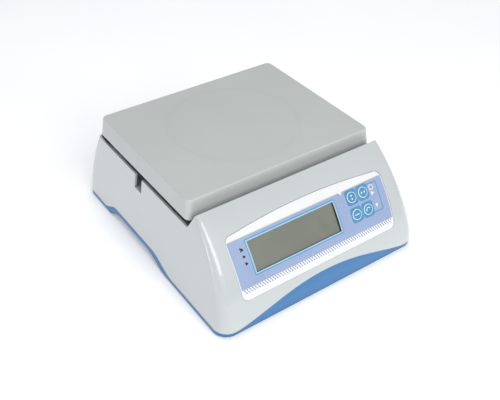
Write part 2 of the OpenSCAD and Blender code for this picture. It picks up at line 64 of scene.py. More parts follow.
KEYS = {"key_upper_left": (66.2, 16.1), "key_upper_right": (85.2, 16.1),
        "key_lower_left": (66.2, -7.2), "key_lower_right": (85.2, -7.2)}
KEY_R, KEY_GAP, SYMBOL_SIZE = 7.4, 0.4, 1.25
LED, LED_R = (99.9, 17.9), 1.6
FILM_LEVEL, HATCH_PITCH = -0.3, 3.75
CASE_SCREWS = [(-136, -110), (136, -110), (-136, 95), (136, 95), (-60, 141), (20, 141)]
FEET = [(x, y) for x in (-128, 128) for y in (-165, 125)]
INLET_X, SWITCH_X, FITTINGS_Y, FITTINGS_Z = 60.0, 95.0, 141.0, 35.0
NOTCH_Y, NOTCH_W, NOTCH_H, NOTCH_IN = 5.5, 17.0, 20.0, 119.3


def place(x, y, z):
    return Vector((x, y + SHIFT_Y, z + FLOOR_GAP)) * MM


# ---------------------------------------------------------------- case outline
def half_w(h):
    return CASE_W / 2 - h * math.tan(LEAN)


def corner_r(h):
    return CORNER_LOW + (CORNER_HIGH - CORNER_LOW) * h / RIM


def front_soft(h):
    a = ARC_IN - math.sqrt(FRONT_R ** 2 - (h + ARC_DROP) ** 2)
    return (a + math.sqrt(a * a + BLEND * BLEND)) / 2


def front_y(h):
    return -CASE_FRONT + front_soft(h) - front_soft(0)


def front_slant(h):
    return FRONT_R / math.sqrt(FRONT_R ** 2 - (h + ARC_DROP) ** 2)


def back_y(h):
    return (CASE_BACK - math.sqrt(BACK_R ** 2 - BACK_DROP ** 2)
            + math.sqrt(BACK_R ** 2 - (h + BACK_DROP) ** 2))


def ramp(v, a, b):
    u = min(max((v - a) / (b - a), 0), 1)
    return u * u * (3 - 2 * u)


def side_seam(y):
    return SEAM_LOW + SIDE_RISE * ramp(y, 98, 62) * ramp(y, -92, -38)


def grip(y):
    return GRIP_RISE * ramp(y, 84, 56) * ramp(y, -76, -22)


def front_seam(x):
    return SEAM_LOW + FRONT_RISE * max(1 - (x / FRONT_HALF) ** 2, 0) ** 1.3


def ring(x, y0, y1, r, z, n, along):
    """A rounded rectangle, with extra points along its straight sides."""
    pts = []
    for c in range(4):
        cx = x - r if c in (0, 3) else r - x
        cy = y1 - r if c < 2 else y0 + r
        for i in range(n + 1):
            t = math.radians(90 * (c + i / n))
            pts.append(Vector((cx + r * math.cos(t), cy + r * math.sin(t), z)))
    out = []
    for i, p in enumerate(pts):
        q = pts[(i + 1) % len(pts)]
        out.append(p)
        if i % (n + 1) == n:
            out += [p.lerp(q, k / along) for k in range(1, along)]
    return out


def case_ring(h, t):
    return ring(half_w(h) - t, front_y(h) + t * front_slant(h), back_y(h) - t,
                max(corner_r(h) - t, 4), h, 16, 24)


# ---------------------------------------------------------------- meshes and solids
def to_object(bm, name):
    for v in bm.verts:
        v.co = place(*v.co)
    bmesh.ops.recalc_face_normals(bm, faces=bm.faces)
    return raw_object(bm, name, 35)


def raw_object(bm, name, smooth):
    mesh = bpy.data.meshes.new(name)
    bm.to_mesh(mesh)
    bm.free()
    mesh.shade_smooth()
    if smooth:
        mesh.set_sharp_from_angle(angle=math.radians(smooth))
    obj = bpy.data.objects.new(name, mesh)
    bpy.context.scene.collection.objects.link(obj)
    return obj


def skin_bm(rings):
    """A tube through rings, capped at both ends."""
    bm = bmesh.new()
    rows = [[bm.verts.new(p) for p in r] for r in rings]
    for a, b in zip(rows, rows[1:]):
        for i in range(len(a)):
            j = (i + 1) % len(a)
            bm.faces.new((a[i], a[j], b[j], b[i]))
    bm.faces.new(rows[0][::-1])
    bm.faces.new(rows[-1])
    return bm


def skin(rings, name):
    return to_object(skin_bm(rings), name)


def case_skin(t, h0, h1, steps, name="tool"):
    return skin([case_ring(h0 + (h1 - h0) * i / steps, t) for i in range(steps + 1)], name)


def prism(profile, lift, name="tool"):
    """A closed profile swept between two copies made by lift(point, 0) and lift(point, 1)."""
    return skin([[lift(p, k) for p in profile] for k in (0, 1)], name)


def along_x(profile, half=200):
    return prism(profile, lambda p, k: Vector((half * (2 * k - 1), p[0], p[1])))


def along_y(profile, y0, y1):
    return prism(profile, lambda p, k: Vector((p[0], y1 if k else y0, p[1])))


def along_z(profile, z0, z1):
    return prism(profile, lambda p, k: Vector((p[0], p[1], z1 if k else z0)))


def block(x0, x1, y0, y1, z0, z1):
    return along_z([(x0, y0), (x1, y0), (x1, y1), (x0, y1)], z0, z1)


def circle(cx, cy, r, n=40):
    turns = [2 * math.pi * i / n for i in range(n)]
    return [(cx + r * math.cos(t), cy + r * math.sin(t)) for t in turns]


def post(x, y, z0, z1, r):
    return along_z(circle(x, y, r, 48), z0, z1)


def solve(target, tool, operation):
    """Boolean of two closed objects; the tool is used up."""
    mod = target.modifiers.new("cut", "BOOLEAN")
    mod.operation, mod.solver, mod.object = operation, "MANIFOLD", tool
    graph = bpy.context.evaluated_depsgraph_get()
    graph.update()
    mesh = bpy.data.meshes.new_from_object(target.evaluated_get(graph))
    mesh.materials.clear()
    target.modifiers.clear()
    old = target.data
    target.data = mesh
    bpy.data.meshes.remove(old)
    bpy.data.objects.remove(tool)
    return target


def minus(target, *tools):
    for tool in tools:
        solve(target, tool, "DIFFERENCE")
    return target


def plus(target, *tools):
    for tool in tools:
        solve(target, tool, "UNION")
    return target


def within(target, *tools):
    for tool in tools:
        solve(target, tool, "INTERSECT")
    return target


def arc(a, b, r, t0, t1, n):
    out = []
    for i in range(n + 1):
        t = math.radians(t0 + (t1 - t0) * i / n)
        out.append((a + r * math.cos(t), b + r * math.sin(t)))
    return out


# ---------------------------------------------------------------- panel frame
ARC_Y = -CASE_FRONT + ARC_IN - front_soft(0)
PANEL_Y = ARC_Y - FRONT_R * math.cos(PANEL_LEAN)
PANEL_Z = -ARC_DROP + FRONT_R * math.sin(PANEL_LEAN)


def on_panel(x, v, w):
    """A point of the flat panel frame: v up the slope, w outwards."""
    s, c = math.sin(PANEL_LEAN), math.cos(PANEL_LEAN)
    return Vector((x, PANEL_Y + v * s - w * c, PANEL_Z + v * c + w * s))


def on_arc(x, v, w):
    """A point that follows the curved surface, w above it."""
    turn = math.asin(max(min(v / FRONT_R, 1), -1))
    r = FRONT_R + w
    t = PANEL_LEAN + turn
    return Vector((x, ARC_Y - r * math.cos(t), -ARC_DROP + r * math.sin(t)))


def v_at(h):
    """Panel v of the surface point at height h."""
    return FRONT_R * math.sin(math.asin((h + ARC_DROP) / FRONT_R) - PANEL_LEAN)


def panel_prism(outline, w0, w1, name="tool"):
    return prism(outline, lambda p, k: on_panel(p[0], p[1], w1 if k else w0), name)


def rounded(cx, cy, w, h, r, n=6):
    out = []
    for c, (sx, sy) in enumerate(((1, 1), (-1, 1), (-1, -1), (1, -1))):
        out += arc(cx + sx * (w / 2 - r), cy + sy * (h / 2 - r), r, 90 * c, 90 * c + 90, n)
    return out


def label_outline(t):
    """Outline of the label seen from the front, as (x, height)."""
    half, low, bow = 121 - t, 37 + t, 102 - t
    pts = arc(-half + 8, low + 8, 8, 180, 270, 10) + arc(half - 8, low + 8, 8, 270, 360, 10)
    pts += arc(half - 9, bow - 7, 9, 0, 75, 10)
    pts += [(-34 * i / 2, 108.8 - t - 6 * (34 * i / 2 / half) ** 2) for i in range(-6, 7)]
    return pts + arc(-half + 9, bow - 7, 9, 105, 180, 10)


def cylinder_x(r):
    return along_x(circle(ARC_Y, -ARC_DROP, r, 360), 180)


# ---------------------------------------------------------------- materials
def sock(node, name):
    return next(s for s in node.inputs if s.name == name and s.enabled)


class Shader:
    """A node material built step by step."""

    def __init__(self, name):
        self.mat = bpy.data.materials.new(name)
        self.mat.use_nodes = True
        self.tree = self.mat.node_tree
        self.bsdf = self.tree.nodes["Principled BSDF"]
        self.coord = self.tree.nodes.new("ShaderNodeTexCoord").outputs["Object"]

    def node(self, kind, **values):
        n = self.tree.nodes.new(kind)
        for key, value in values.items():
            setattr(n, key, value)
        return n

    def link(self, a, b):
        self.tree.links.new(a, b)

    def noise(self, scale, detail=3.0, rough=0.5, stretch=None):
        n = self.node("ShaderNodeTexNoise")
        sock(n, "Scale").default_value = scale
        sock(n, "Detail").default_value = detail
        sock(n, "Roughness").default_value = rough
        if stretch:
            m = self.node("ShaderNodeMapping")
            m.inputs["Scale"].default_value = stretch
            self.link(self.coord, m.inputs["Vector"])
            self.link(m.outputs["Vector"], sock(n, "Vector"))
        else:
            self.link(self.coord, sock(n, "Vector"))
        return n.outputs[0]

    def span(self, value, low, high, to_low, to_high):
        n = self.node("ShaderNodeMapRange", interpolation_type="SMOOTHERSTEP")
        for name, v in (("From Min", low), ("From Max", high), ("To Min", to_low), ("To Max", to_high)):
            sock(n, name).default_value = v
        self.link(value, sock(n, "Value"))
        return n.outputs[0]

    def blend(self, factor, a, b):
        n = self.node("ShaderNodeMix", data_type="RGBA")
        self.put(sock(n, "Factor"), factor)
        self.put(sock(n, "A"), a)
        self.put(sock(n, "B"), b)
        return next(s for s in n.outputs if s.enabled)

    def math(self, operation, a, b=0.0):
        n = self.node("ShaderNodeMath", operation=operation)
        self.put(n.inputs[0], a)
        self.put(n.inputs[1], b)
        return n.outputs[0]

    def put(self, socket, value):
        if isinstance(value, bpy.types.NodeSocket):
            self.link(value, socket)
        elif isinstance(value, tuple):
            socket.default_value = (*value, 1.0)[:4]
        else:
            socket.default_value = value

    def bump(self, height, strength, distance, edge=0.0):
        n = self.node("ShaderNodeBump")
        n.inputs["Strength"].default_value = strength
        n.inputs["Distance"].default_value = distance
        self.link(height, n.inputs["Height"])
        if edge:
            b = self.node("ShaderNodeBevel")
            b.samples = 4
            b.inputs["Radius"].default_value = edge
            self.link(b.outputs["Normal"], n.inputs["Normal"])
        self.link(n.outputs["Normal"], self.bsdf.inputs["Normal"])

    def set(self, **values):
        for key, value in values.items():
            self.put(self.bsdf.inputs[key.replace("_", " ")], value)


def srgb(r, g, b):
    def line(c):
        c /= 255
        return c / 12.92 if c <= 0.04045 else ((c + 0.055) / 1.055) ** 2.4
    return (line(r), line(g), line(b))


def shade(colour, k):
    return tuple(min(c * k, 1.0) for c in colour)


def plastic(name, colour, rough=0.35, grain=9000, depth=0.15, edge=0.0006, vary=0.008,
            coat=0.0, crevice_shade=0.0):
    """Moulded plastic: fine grain, colour drift, handling marks in the gloss, painted shade darkening
    crevices.
    """
    s = Shader(name)
    drift = s.span(s.noise(9, 3), 0.3, 0.7, 0, 1)
    base = s.blend(drift, shade(colour, 1 - vary), shade(colour, 1 + vary))
    dust = s.span(s.noise(700, 4, 0.6), 0.55, 0.8, 0, 0.03)
    dust_and_shade = s.blend(dust, base, shade(colour, 0.85))
    if crevice_shade:
        # painted shade: ambient occlusion darkens the colour towards near black in crevices, gaps and
        # seams
        occlusion = s.node("ShaderNodeAmbientOcclusion", samples=8)
        occlusion.inputs["Distance"].default_value = 0.02
        painted_shade = s.span(occlusion.outputs["AO"], 0.25, 0.9, crevice_shade, 0)
        dust_and_shade = s.blend(painted_shade, dust_and_shade, shade(colour, 0.12))
    s.set(Base_Color=dust_and_shade)
    smear = s.span(s.noise(18, 2, 0.5), 0.3, 0.7, rough - 0.015, rough + 0.015)
    s.set(Roughness=smear, IOR=1.5, Coat_Weight=coat, Coat_Roughness=0.06)
    s.bump(s.noise(grain, 2), depth, 0.00003, edge)
    return s.mat


def metal(name, colour, rough, grain, stretch=None):
    s = Shader(name)
    tone = s.span(s.noise(60, 4), 0.3, 0.7, 0, 1)
    s.set(Base_Color=s.blend(tone, shade(colour, 0.88), shade(colour, 1.06)), Metallic=1.0)
    s.set(Roughness=s.span(s.noise(grain / 6, 4, 0.6, stretch), 0.3, 0.7, rough - 0.08, rough + 0.1))
    s.bump(s.noise(grain, 3, 0.6, stretch), 0.3, 0.00005, 0.0004)
    return s.mat


def rubber(name, colour, rough=0.7, grain=4000):
    s = Shader(name)
    dust = s.span(s.noise(90, 5, 0.6), 0.45, 0.75, 0, 0.5)
    s.set(Base_Color=s.blend(dust, colour, shade(colour, 1.8)), IOR=1.45)
    s.set(Roughness=s.span(s.noise(35, 3), 0.3, 0.7, rough - 0.1, rough + 0.1))
    s.bump(s.noise(grain, 2), 0.3, 0.00004, 0.0004)
    return s.mat


def printed(name, colour, rough=0.3):
    """Ink under a smooth polyester film."""
    s = Shader(name)
    tone = s.span(s.noise(45, 3), 0.3, 0.7, 0, 1)
    s.set(Base_Color=s.blend(tone, shade(colour, 0.985), shade(colour, 1.015)))
    s.set(Roughness=s.span(s.noise(30, 4), 0.3, 0.7, rough - 0.06, rough + 0.08))
    s.set(IOR=1.5, Coat_Weight=0.25, Coat_Roughness=0.2)
    s.bump(s.noise(1500, 2), 0.12, 0.00002)
    return s.mat


def clear(name, colour, rough, ior):
    s = Shader(name)
    s.set(Base_Color=colour, Transmission_Weight=1.0, IOR=ior)
    s.set(Roughness=s.span(s.noise(30, 4), 0.35, 0.75, rough, rough + 0.05))
    s.bump(s.noise(300, 2), 0.05, 0.00002)
    return s.mat


def window_material():
    """Acrylic over the display: mostly see-through, with a soft sheen."""
    s = Shader("window_clear")
    out = s.tree.nodes["Material Output"]
    gloss = s.node("ShaderNodeBsdfGlossy")
    through = s.node("ShaderNodeBsdfTransparent")
    mix = s.node("ShaderNodeMixShader")
    gloss.inputs["Roughness"].default_value = 0.24
    through.inputs["Color"].default_value = (0.97, 0.98, 0.97, 1)
    fresnel = s.node("ShaderNodeFresnel")
    fresnel.inputs["IOR"].default_value = 1.45
    smear = s.span(s.noise(40, 4), 0.35, 0.75, 0.8, 1.15)
    s.link(s.math("MULTIPLY", fresnel.outputs[0], smear), mix.inputs[0])
    s.link(through.outputs[0], mix.inputs[1])
    s.link(gloss.outputs[0], mix.inputs[2])
    s.link(mix.outputs[0], out.inputs["Surface"])
    return s.mat


MARK_R = 0.088  # radius of the pan's polish mark, in metres


def pan_material(centre):
    """The pan's plastic, with the faint round polish mark left in its middle."""
    colour = srgb(198, 202, 200)
    s = Shader("pan_plastic")
    drift = s.span(s.noise(8, 3), 0.3, 0.7, 0, 1)
    base = s.blend(drift, shade(colour, 0.985), shade(colour, 1.015))
    reach = s.node("ShaderNodeVectorMath", operation="DISTANCE")
    flat = s.node("ShaderNodeVectorMath", operation="MULTIPLY")
    s.link(s.coord, flat.inputs[0])
    flat.inputs[1].default_value = (1, 1, 0)
    s.link(flat.outputs[0], reach.inputs[0])
    reach.inputs[1].default_value = (centre.x, centre.y, 0)
    away = reach.outputs["Value"]
    off = s.math("MULTIPLY", s.math("SUBTRACT", away, MARK_R), 180)
    mark = s.math("SUBTRACT", 1.0, s.math("ABSOLUTE", off))
    mark = s.math("MULTIPLY", s.math("MAXIMUM", mark, 0.0), 0.3)
    base = s.blend(mark, base, shade(colour, 0.9))
    dust = s.span(s.noise(180, 6, 0.7), 0.6, 0.8, 0, 0.06)
    s.set(Base_Color=s.blend(dust, base, shade(colour, 0.75)))
    wear = s.span(away, 0.05, 0.15, -0.03, 0.03)
    rough = s.math("ADD", s.span(s.noise(22, 5, 0.6, (1, 2, 1)), 0.35, 0.7, 0.4, 0.5), wear)
    s.set(Roughness=rough, IOR=1.5, Coat_Weight=0.3, Coat_Roughness=0.22)
    s.bump(s.noise(7000, 2), 0.2, 0.00003, 0.0005)
    return s.mat


def board_material():
    s = Shader("circuit_board")
    tracks = s.node("ShaderNodeTexBrick")
    sock(tracks, "Scale").default_value = 420
    sock(tracks, "Mortar Size").default_value = 0.06
    s.link(s.coord, sock(tracks, "Vector"))
    s.put(sock(tracks, "Color1"), (0.02, 0.13, 0.06))
    s.put(sock(tracks, "Color2"), (0.025, 0.17, 0.075))
    s.put(sock(tracks, "Mortar"), (0.05, 0.24, 0.1))
    s.set(Base_Color=tracks.outputs["Color"], Coat_Weight=0.4)
    s.set(Roughness=s.span(s.noise(60, 3), 0.3, 0.7, 0.3, 0.45))
    s.bump(tracks.outputs["Fac"], 0.2, 0.00005, 0.0002)
    return s.mat


BLACK = srgb(26, 26, 28)
MATERIALS = {
    # case and base plastics carry painted shade: ambient occlusion darkens them in crevices and gaps
    "case_plastic": plastic("case_plastic", srgb(198, 203, 203), 0.3, coat=0.9, crevice_shade=0.92),
    "base_plastic": plastic("base_plastic", srgb(64, 122, 176), 0.36, crevice_shade=0.5),
    "pan_plastic": pan_material(place(0, 0, 0)),
    "label_film": printed("label_film", srgb(236, 237, 239)),
    "window_clear": window_material(),
    "display_glass": plastic("display_glass", srgb(148, 148, 139), 0.45, 5000, 0.1, 0, 0.02),
    "black_plastic": plastic("black_plastic", BLACK, 0.42, 6000, 0.3, 0.0004, 0.1),
    "key_plastic": printed("key_plastic", srgb(80, 145, 188), 0.25),
    "circuit_board": board_material(),
    "led_red": plastic("led_red", srgb(190, 156, 172), 0.2, 2000, 0.1, 0.0003),
    "cast_metal": metal("cast_metal", (0.58, 0.59, 0.61), 0.5, 1400),
    "machined_metal": metal("machined_metal", (0.7, 0.71, 0.73), 0.3, 900, (1, 12, 12)),
    "plated_steel": metal("plated_steel", (0.62, 0.63, 0.66), 0.32, 1800),
    "brass": metal("brass", (0.7, 0.52, 0.22), 0.28, 1200),
    "sealant": rubber("sealant", srgb(228, 228, 222), 0.45, 900),
    "rubber_black": rubber("rubber_black", srgb(30, 30, 32)),
    "cable_black": rubber("cable_black", srgb(32, 32, 36), 0.5),
    "cable_grey": plastic("cable_grey", srgb(176, 177, 182), 0.45, 2500, 0.4, 0.0002, 0.06),
    "cable_red": rubber("cable_red", srgb(168, 32, 30), 0.45),
    "battery_case": plastic("battery_case", srgb(54, 56, 62), 0.5, 3500, 0.5, 0.0008, 0.08),
    "level_fluid": clear("level_fluid", (0.72, 0.92, 0.36), 0.02, 1.36),
}
SLOT_OF = {p["node"]: p["material_slot"] for p in frame["record"]["subparts"]}


def finish_piece(obj, body, node, *inks):
    """Gives a made piece its finish and its body, and hides the CAD node it stands for."""
    for mat in inks or (MATERIALS[SLOT_OF[node]],):
        obj.data.materials.append(mat)
    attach(obj, body)
    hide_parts(node)
    return obj


# ---------------------------------------------------------------- case and base
def well(level, t):
    """The space over the deck and behind the ridge, grown by t."""
    return along_x([(200, level - t)] + arc(-110.6, level + 6, 6 + t, 270, 208, 12)
                   + arc(-130.6, RIDGE - 4, 4 - t, 28, 90, 12) + [(-130.6, 200), (200, 200)])


def under_seam(gap):
    """Two prisms that cover everything under the seam."""
    low = SEAM_LOW - gap
    side = [(200, -20), (200, low)] + [(y, side_seam(y) - gap) for y in range(112, -106, -2)]
    xs = [FRONT_HALF * i / 36 for i in range(-36, 37)]
    front = [(-170, -20), (-170, low)] + [(x, front_seam(x) - gap) for x in xs]
    return [along_x(side + [(-230, low), (-230, -20)]),
            along_y(front + [(170, low), (170, -20)], -230, -130)]


def grip_space(side, up, deep):
    """The space under a finger arch, raised by up and reaching deep into the case."""
    outline = [(112, -20), (112, up)] + [(y, grip(y) + up) for y in range(88, -82, -3)]
    outline += [(-104, up), (-104, -20)]
    inner = CASE_W / 2 - deep
    return prism(outline, lambda p, k: Vector((side * (inner + 100 * k), p[0], p[1])))


def notch(side, t):
    xs = sorted((side * (NOTCH_IN - t), side * 160))
    half = NOTCH_W / 2 + t
    return block(*xs, NOTCH_Y - half, NOTCH_Y + half, RIM - NOTCH_H - t, RIM + 10)


def make_case():
    case = case_skin(0, 0, RIDGE, 56, "case_upper")
    occlusion = minus(case_skin(WALL, -1, RIDGE - 4, 30), well(DECK, DECK_T))
    minus(case, occlusion)
    bosses = [notch(s, 3) for s in (-1, 1)]
    bosses += [post(x, y, 8, DECK - 1, 4.5) for x, y in CASE_SCREWS]
    bosses += [block(INLET_X - 22, SWITCH_X + 26, FITTINGS_Y - 3, 160, 15, 55)]
    for boss in bosses:
        plus(case, within(boss, case_skin(0.4, 0, RIDGE, 24)))
    minus(case, well(RIM, 0), within(case_skin(WALL, 80, RIDGE, 24), well(DECK, 0)))
    minus(case, notch(-1, 0), notch(1, 0), *under_seam(0))
    minus(case, *[post(x, y, 7, 24.5, 1.95) for x, y in CASE_SCREWS])
    minus(case, block(INLET_X - 19, SWITCH_X + 23, FITTINGS_Y, 170, 18, 52))
    minus(case, along_y(circle(INLET_X, FITTINGS_Z, 4.05), 130, 150))
    minus(case, block(SWITCH_X - 9.4, SWITCH_X + 9.4, 130, 150, FITTINGS_Z - 6.4, FITTINGS_Z + 6.4))
    minus(case, post(0, 0, DECK - 10, DECK + 1, 27))
    recess = within(minus(cylinder_x(FRONT_R + 6), cylinder_x(FRONT_R - 0.8)),
                    along_y(label_outline(-0.3), -230, -100))
    x, v, w, h = WINDOW
    minus(case, recess, panel_prism(rounded(x, v, w + 4, h + 4, 1), -20, 2),
          panel_prism(rounded(x, v, w + 11, h + 11, 1), -20, -3.2))
    for kx, kv in KEYS.values():
        minus(case, panel_prism(circle(kx, kv, KEY_R + KEY_GAP), -20, 5))
    minus(case, panel_prism(circle(*LED, LED_R), -20, 5))
    return case


def make_base():
    outer = case_skin(BASE_INSET, -BASE_DROP, 32, 20, "case_base")
    within(outer, plus(*under_seam(SEAM_GAP)))
    lip = case_skin(WALL + LIP_GAP, 0, 36, 20)
    within(lip, plus(*under_seam(-LIP_RISE)))
    plus(outer, lip)
    minus(outer, case_skin(WALL + LIP_GAP + LIP_T, FLOOR_T, 40, 20))
    for side in (-1, 1):
        roof = grip_space(side, GRIP_WALL - BASE_DROP, GRIP_IN + GRIP_WALL)
        plus(outer, within(roof, case_skin(BASE_INSET, -BASE_DROP, 20, 12)))
    plus(outer, *[post(x, y, 0, 9.5, 20) for x, y in FEET])
    plus(outer, *[post(x, y, 1, 7.95, 7) for x, y in CASE_SCREWS])
    minus(outer, case_skin(BASE_INSET + BASE_RIM, -BASE_DROP - 1, 0, 2))
    minus(outer, *[grip_space(side, -BASE_DROP - 0.05, GRIP_IN) for side in (-1, 1)])
    for x, y in FEET:
        minus(outer, post(x, y, -1, 7, 17), post(x, y, 6, 20, 4.8))
    for x, y in CASE_SCREWS:
        minus(outer, post(x, y, -1, 5, 4.2), post(x, y, 4, 20, 2.2))
    return outer


def soften(obj, angle=38):
    """Rounds the shading over gentle turns and keeps real edges crisp."""
    obj.data.shade_smooth()
    obj.data.set_sharp_from_angle(angle=math.radians(angle))
    return obj


finish_piece(soften(make_case()), "root", "upper_case")
finish_piece(soften(make_base()), "root", "base_shell")


# ---------------------------------------------------------------- pan
def pan_ring(h, t, inset=0.0):
    out = PAN_DRAFT * (PAN_TOP - h) / PAN_SKIRT - t - inset
    half = PAN_L / 2 + out
    return ring(PAN_W / 2 + out, -half, half, max(PAN_CORNER - t - inset, 3), h, 14, 12)


def make_pan():
    low, lip, fillet = PAN_TOP - PAN_SKIRT, PAN_LIP, PAN_FILLET
    quarter = [math.radians(90 * i / 4) for i in range(5)]
    rings = [pan_ring(low + lip - lip * math.sin(a), PAN_T - lip + lip * math.cos(a))
             for a in quarter]
    rings += [pan_ring(low + lip - lip * math.cos(a), lip - lip * math.sin(a)) for a in quarter]
    rings += [pan_ring(low + (PAN_SKIRT - fillet) * k / 6, 0) for k in range(1, 6)]
    for i in range(11):
        a = math.radians(90 * i / 10)
        top = PAN_TOP - fillet + fillet * math.sin(a)
        rings.append(pan_ring(top, 0, fillet * (1 - math.cos(a))))
    under = [pan_ring(PAN_TOP - 3 - 20 * k / 4, PAN_T) for k in range(5)]
    pan = to_object(skin_bm(under + rings), "pan_tray")
    ribs = [block(x - 1, x + 1, 0.9 - PAN_L / 2, PAN_L / 2 - 0.9, PAN_TOP - 9, PAN_TOP - 1)
            for x in (-PAD_X, -PAD_X / 2, PAD_X / 2, PAD_X)]
    ribs += [block(0.9 - PAN_W / 2, PAN_W / 2 - 0.9, y - 1, y + 1, PAN_TOP - 9, PAN_TOP - 1)
             for y in (-PAD_Y, PAD_Y)]
    pads = [(x, y) for x in (-PAD_X, PAD_X) for y in (-PAD_Y, PAD_Y)]
    plus(pan, *ribs, *[post(x, y, 119.5, PAN_TOP - 1, 12) for x, y in pads])
    minus(pan, *[post(x, y, 100, 122, 9.6) for x, y in pads])
    return pan


finish_piece(soften(make_pan()), "pan", "pan")


# ---------------------------------------------------------------- printed label
def inked(bm, outlines, level, index, step=2.0):
    """Fills outlines (an edge, then its holes), cuts them fine and bends them to the arc."""
    part = bmesh.new()
    edges = []
    for pts in outlines:
        vs = [part.verts.new((x, v, 0)) for x, v in pts]
        edges += [part.edges.new((vs[i], vs[(i + 1) % len(vs)])) for i in range(len(vs))]
    bmesh.ops.triangle_fill(part, use_beauty=True, use_dissolve=False, edges=edges)
    low = min(v for pts in outlines for _, v in pts)
    high = max(v for pts in outlines for _, v in pts)
    k = math.ceil(low / step)
    while k * step < high:
        geom = part.verts[:] + part.edges[:] + part.faces[:]
        bmesh.ops.bisect_plane(part, geom=geom, plane_co=(0, k * step, 0), plane_no=(0, 1, 0))
        k += 1
    made = {v: bm.verts.new(place(*on_arc(v.co.x, v.co.y, level))) for v in part.verts}
    for f in part.faces:
        if f.calc_area() < 1e-7:
            continue
        vs = [made[v] for v in f.verts]
        if f.normal.z < 0:
            vs.reverse()
        bm.faces.new(vs).material_index = index
    part.free()


LABEL = [(x, v_at(h)) for x, h in label_outline(0)]
INK = {name: printed("ink_" + name, srgb(*colour)) for name, colour in {
    "sky": (155, 172, 207), "pale": (165, 206, 226), "mid": (86, 150, 194), "tile": (84, 146, 190),
    "cream": (228, 224, 190), "white": (236, 236, 240), "dark": (30, 32, 40),
    "stroke": (104, 116, 150)}.items()}
INK_ORDER = list(INK)


def clip_band(outline, low, high):
    """The part of a closed outline between two values of v."""
    def cut(pts, keep, at):
        out = []
        for i, p in enumerate(pts):
            q = pts[(i + 1) % len(pts)]
            if keep(p[1]):
                out.append(p)
            if keep(p[1]) != keep(q[1]):
                u = (at - p[1]) / (q[1] - p[1])
                out.append((p[0] + (q[0] - p[0]) * u, at))
        return out
    return cut(cut(outline, lambda v: v >= low, low), lambda v: v <= high, high)


def bar(x0, v0, x1, v1, width):
    dx, dv = x1 - x0, v1 - v0
    k = width / 2 / math.hypot(dx, dv)
    nx, nv = -dv * k, dx * k
    return [(x0 + nx, v0 + nv), (x0 - nx, v0 - nv), (x1 - nx, v1 - nv), (x1 + nx, v1 + nv)]


def star(cx, cv, r):
    """A four-pointed star."""
    reach = [r, r * 0.34] * 4
    return [(cx + d * math.sin(math.pi * i / 4), cv + d * math.cos(math.pi * i / 4))
            for i, d in enumerate(reach)]


def make_label():
    film = bmesh.new()
    x, v, w, h = WINDOW
    window = rounded(x, v, w, h, 0.8)
    holes = [window, circle(*LED, LED_R, 24)]
    holes += [circle(kx, kv, KEY_R + KEY_GAP) for kx, kv in KEYS.values()]
    inked(film, [LABEL] + holes, FILM_LEVEL, 0)
    rim = bmesh.ops.extrude_face_region(film, geom=film.faces[:])
    inward = place(*on_panel(0, 0, -0.45)) - place(*on_panel(0, 0, 0))
    moved = [g for g in rim["geom"] if isinstance(g, bmesh.types.BMVert)]
    bmesh.ops.translate(film, verts=moved, vec=inward)
    bmesh.ops.recalc_face_normals(film, faces=film.faces)
    finish_piece(raw_object(film, "label_sheet", 40), "root", "front_label", MATERIALS["label_film"])

    art = bmesh.new()

    def ink(name, level, *outlines):
        inked(art, list(outlines), FILM_LEVEL + 0.008 * level, INK_ORDER.index(name))

    line_v, band_top, band_low = 27.6, -31.4, -37.6
    shrunk = [(px * 0.991, pv * 0.994) for px, pv in LABEL]
    ink("sky", 1, clip_band(shrunk, band_top, line_v), *holes)
    ink("cream", 2, clip_band(shrunk, line_v, line_v + 1.2))
    ink("cream", 3, star(52, line_v + 0.4, 5.4))
    ink("white", 4, circle(52, line_v + 0.4, 2.4, 24))
    for row in range(2):
        cv = band_top - 1.5 - row * 2.9
        for i in range(-31, 32):
            cx = (i + row / 2) * HATCH_PITCH
            if abs(cx) < 117 - row:
                ink("stroke", 2, bar(cx - 0.75, cv + 1.2, cx + 0.75, cv - 1.2, 1.0))
    ink("mid", 3, rounded(x, v, w + 6.2, h + 6.0, 2.6), rounded(x, v, w + 3.4, h + 3.2, 1.6))
    ink("pale", 4, rounded(x, v, w + 3.5, h + 3.3, 1.6), rounded(x, v, w + 0.3, h + 0.3, 0.8))
    for kx, kv in KEYS.values():
        ink("tile", 3, rounded(kx, kv, 18.4, 20.4, 4.2), circle(kx, kv, KEY_R + KEY_GAP))
    ink("mid", 2, bar(91.4, 23.6, 110.0, 22.4, 1.3))
    ink("mid", 3, bar(109.5, 22.9, 108.6, -15.2, 1.3))
    ink("mid", 2, bar(109.1, -14.8, 91.8, -14.7, 1.3))
    ink("white", 4, circle(*LED, 3.6), circle(*LED, 2.5))
    ink("white", 4, [(97.4, 12.9), (97.4, 7.3), (102.6, 10.1)])
    ink("white", 4, [(98.2, -5.0), (102.8, -5.0), (100.5, -10.2)])
    for i, (size, cv) in enumerate(((4.2, 14.3), (2.8, 5.5), (3.0, -3.2))):
        cx = -104 + 0.3 * i
        ink("dark", 4, bar(cx - size / 2, cv + size / 2, cx + size / 2, cv - size / 3, 2.1))
        ink("dark", 5, bar(cx - size / 2, cv - size / 2, cx + size / 4, cv + size / 4, 1.6))
    body = raw_object(art, "label_print", 0)
    for mat in INK.values():
        body.data.materials.append(mat)
    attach(body, "root")


make_label()


def make_window():
    """The clear pane, a hair above the display glass."""
    x, v, w, h = WINDOW
    pane = panel_prism(rounded(x, v, w + 4.6, h + 4.6, 0.6), -4.25, -3.6, "window_pane")
    finish_piece(soften(pane), "root", "display_window")


make_window()


